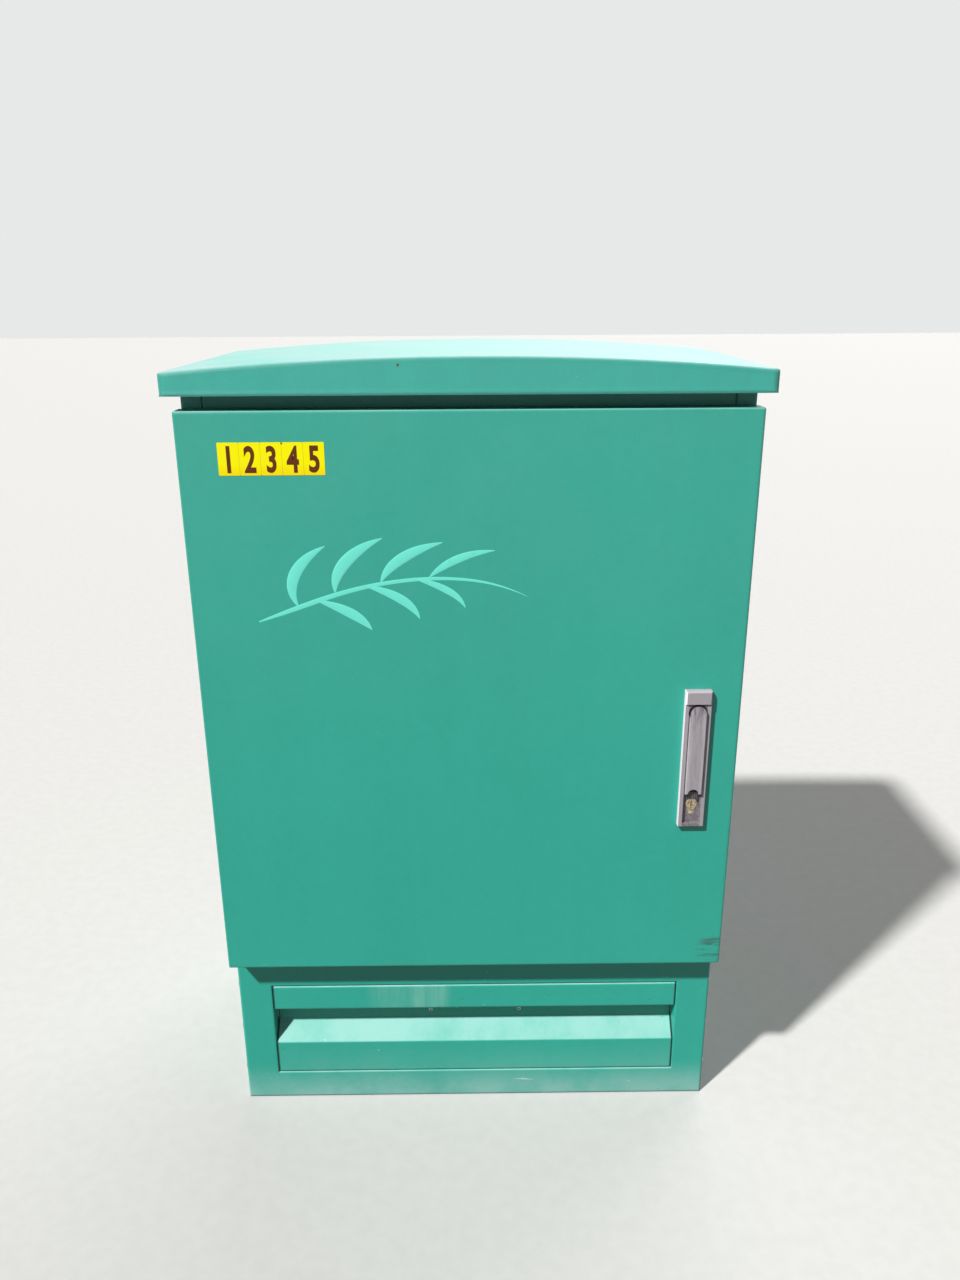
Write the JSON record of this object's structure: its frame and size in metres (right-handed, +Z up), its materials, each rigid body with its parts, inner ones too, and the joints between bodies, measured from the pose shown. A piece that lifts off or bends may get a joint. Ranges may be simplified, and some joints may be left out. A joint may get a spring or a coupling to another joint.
{
  "type": "roadside utility cabinet",
  "caption": "Free-standing green steel roadside cabinet: plinth with screwed cover, hinged front door with swing handle and rod lock, arched rain roof.",
  "frame": {"origin": "centre of the plinth's footprint at ground level, at the middle of the four anchor holes", "axes": "+Z up, -Y out of the door's face, +X to the right as seen by someone facing the door"},
  "size_m": [0.8246, 0.4952, 1.2572],
  "materials": {
    "green_paint": "semi-matt green polyester powder coat on steel sheet",
    "zinc_steel": "zinc plated steel sheet",
    "fastener_steel": "zinc plated fasteners and turned steel",
    "handle_grey": "weathered grey powder coat on die-cast zinc",
    "brass": "dull brass",
    "black_plastic": "dark grey moulded plastic",
    "seal_rubber": "black rubber foam",
    "terminal_plastic": "light grey moulded plastic"
  },
  "bodies": {
    "cabinet": {"plinth_front_frame": "green_paint", "plinth_back_frame": "green_paint", "plinth_side_left": "green_paint", "plinth_side_right": "green_paint", "plinth_bolts": "fastener_steel", "plinth_cover": "green_paint", "plinth_cover_rail": "zinc_steel", "plinth_cover_screws": "fastener_steel", "body_shell": "green_paint", "top_plate": "green_paint", "floor_plate": "green_paint", "gland_plate": "zinc_steel", "gland_grommets": "seal_rubber", "gland_screws": "fastener_steel", "roof": "green_paint", "roof_rail_front": "zinc_steel", "roof_rail_rear": "zinc_steel", "roof_bolts": "fastener_steel", "door_seal": "seal_rubber", "hinge_brackets": "zinc_steel", "mounting_rail_left": "zinc_steel", "mounting_rail_right": "zinc_steel", "mounting_plate": "zinc_steel", "mounting_plate_bolts": "fastener_steel", "terminal_rail_screws": "fastener_steel", "earth_bar_bolts": "fastener_steel", "cable_bar_bolts": "fastener_steel", "hinge_screws": "fastener_steel", "terminal_rail_upper": "zinc_steel", "terminal_rail_lower": "zinc_steel", "terminal_blocks_upper": "terminal_plastic", "terminal_blocks_lower": "terminal_plastic", "earth_standoffs": "black_plastic", "earth_bar": "brass", "cable_bar": "zinc_steel"},
    "door": {"door_skin": "green_paint", "door_stiffener_left": "zinc_steel", "door_stiffener_right": "zinc_steel", "hinge_leaves": "zinc_steel", "hinge_pins": "fastener_steel", "handle_tray": "handle_grey", "handle_screws": "fastener_steel", "lock_housing": "handle_grey", "lock_cover": "zinc_steel", "lock_cover_screws": "fastener_steel", "rod_guide_upper": "black_plastic", "rod_guide_lower": "black_plastic", "lock_cylinder": "brass", "cylinder_holder": "handle_grey"},
    "spindle": {"spindle": "fastener_steel", "pinion": "fastener_steel", "lever_pin": "fastener_steel"},
    "lever": {"lever": "handle_grey"},
    "key": {"key_plug": "brass", "lock_cam": "fastener_steel"},
    "dust_cover": {"dust_cover": "black_plastic"},
    "upper_rod": {"upper_rod": "zinc_steel"},
    "lower_rod": {"lower_rod": "zinc_steel"}
  },
  "joints": [
    {"name": "door_hinge", "type": "hinge", "parent": "cabinet", "child": "door", "pos_m": [-0.3885, -0.2395, 0.742], "axis": [0, 0, -1], "range_deg": [0, 120]},
    {"name": "handle_turn", "type": "hinge", "parent": "door", "child": "spindle", "pos_m": [0.335, -0.21, 0.7446], "axis": [0, 1, 0], "range_deg": [0, 90]},
    {"name": "lever_lift", "type": "hinge", "parent": "spindle", "child": "lever", "pos_m": [0.335, -0.2613, 0.7486], "axis": [-1, 0, 0], "range_deg": [0, 35]},
    {"name": "key_turn", "type": "hinge", "parent": "door", "child": "key", "pos_m": [0.335, -0.24, 0.592], "axis": [0, 1, 0], "range_deg": [0, 90]},
    {"name": "dust_cover_slide", "type": "slide", "parent": "door", "child": "dust_cover", "axis": [0, 0, -1], "range_m": [0, 0.028]},
    {"name": "upper_rod_slide", "type": "slide", "parent": "door", "child": "upper_rod", "axis": [0, 0, -1], "range_m": [0, 0.0189]},
    {"name": "lower_rod_slide", "type": "slide", "parent": "door", "child": "lower_rod", "axis": [0, 0, 1], "range_m": [0, 0.0189]}
  ],
  "couplings": [
    {"joint": "upper_rod_slide", "follows": "handle_turn", "m_per_rad": 0.012},
    {"joint": "lower_rod_slide", "follows": "handle_turn", "m_per_rad": 0.012}
  ]
}
